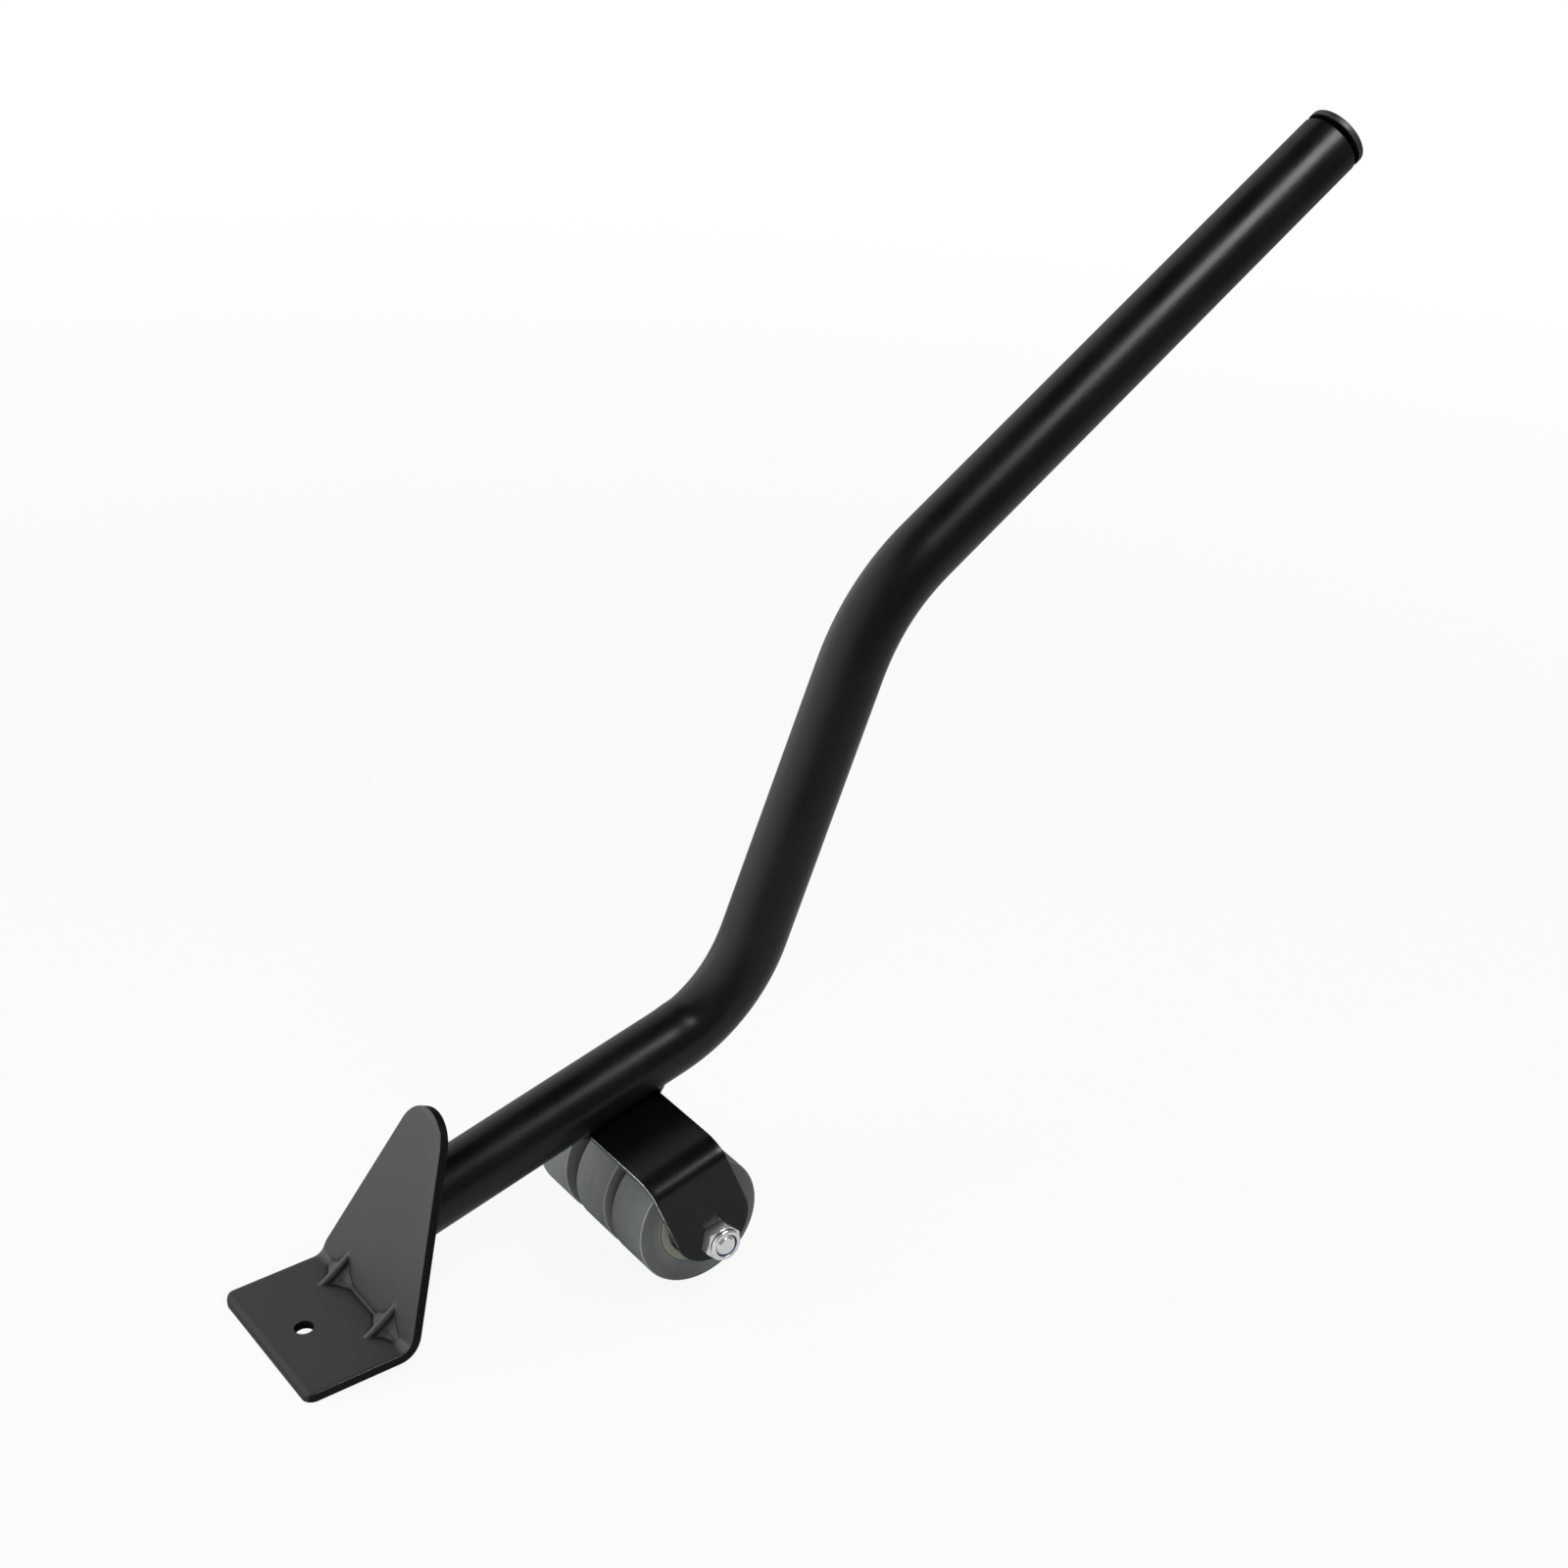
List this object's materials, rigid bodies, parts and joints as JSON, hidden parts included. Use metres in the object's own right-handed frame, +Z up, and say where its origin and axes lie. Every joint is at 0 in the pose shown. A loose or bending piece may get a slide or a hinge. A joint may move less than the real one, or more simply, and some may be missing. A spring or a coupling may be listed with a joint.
{
  "type": "furniture lifter",
  "caption": "Lever furniture lifter: an S-bent steel tube with a bent toe plate at its foot and grey rollers on an axle under it as a fulcrum.",
  "frame": {"origin": "on the floor, under the middle of the lever's box", "axes": "+Z up, +X from the toe towards the handle, Y along the axle; the nut and the bracket's longer side are on the -Y side"},
  "size_m": [0.4478, 0.0992, 0.4047],
  "materials": {
    "black_coat": "satin black powder coat",
    "charcoal_coat": "satin charcoal powder coat with a fine texture",
    "zinc_steel": "bright zinc plate",
    "grey_rubber": "matt grey moulded rubber",
    "cream_plastic": "matt cream moulded plastic",
    "black_plastic": "satin black moulded plastic",
    "spacer_plastic": "matt black moulded plastic",
    "bush_steel": "plain steel sleeve",
    "nylon": "blue nylon ring"
  },
  "bodies": {
    "lever": {"toe_plate": "charcoal_coat", "toe_weld": "black_coat", "lever_tube": "black_coat", "end_cap": "black_plastic", "wheel_bracket": "black_coat", "bracket_weld_front": "black_coat", "bracket_weld_rear": "black_coat", "axle_bolt": "zinc_steel", "lock_nut": "zinc_steel", "lock_nut_insert": "nylon", "end_spacer": "spacer_plastic", "roller_spacer_near": "spacer_plastic", "roller_spacer_far": "spacer_plastic"},
    "near_roller": {"tyre_near": "grey_rubber", "hub_near": "cream_plastic", "bush_near": "bush_steel"},
    "middle_roller": {"tyre_middle": "grey_rubber", "hub_middle": "cream_plastic", "bush_middle": "bush_steel"},
    "far_roller": {"tyre_far": "grey_rubber", "hub_far": "cream_plastic", "bush_far": "bush_steel"}
  },
  "joints": [
    {"name": "near_roller_spin", "type": "hinge", "parent": "lever", "child": "near_roller", "pos_m": [-0.06959, -0.02077, 0.025], "axis": [0, 1, 0], "continuous": true},
    {"name": "middle_roller_spin", "type": "hinge", "parent": "lever", "child": "middle_roller", "pos_m": [-0.06959, 0.00422, 0.025], "axis": [0, 1, 0], "continuous": true},
    {"name": "far_roller_spin", "type": "hinge", "parent": "lever", "child": "far_roller", "pos_m": [-0.06959, 0.03143, 0.025], "axis": [0, 1, 0], "continuous": true}
  ]
}
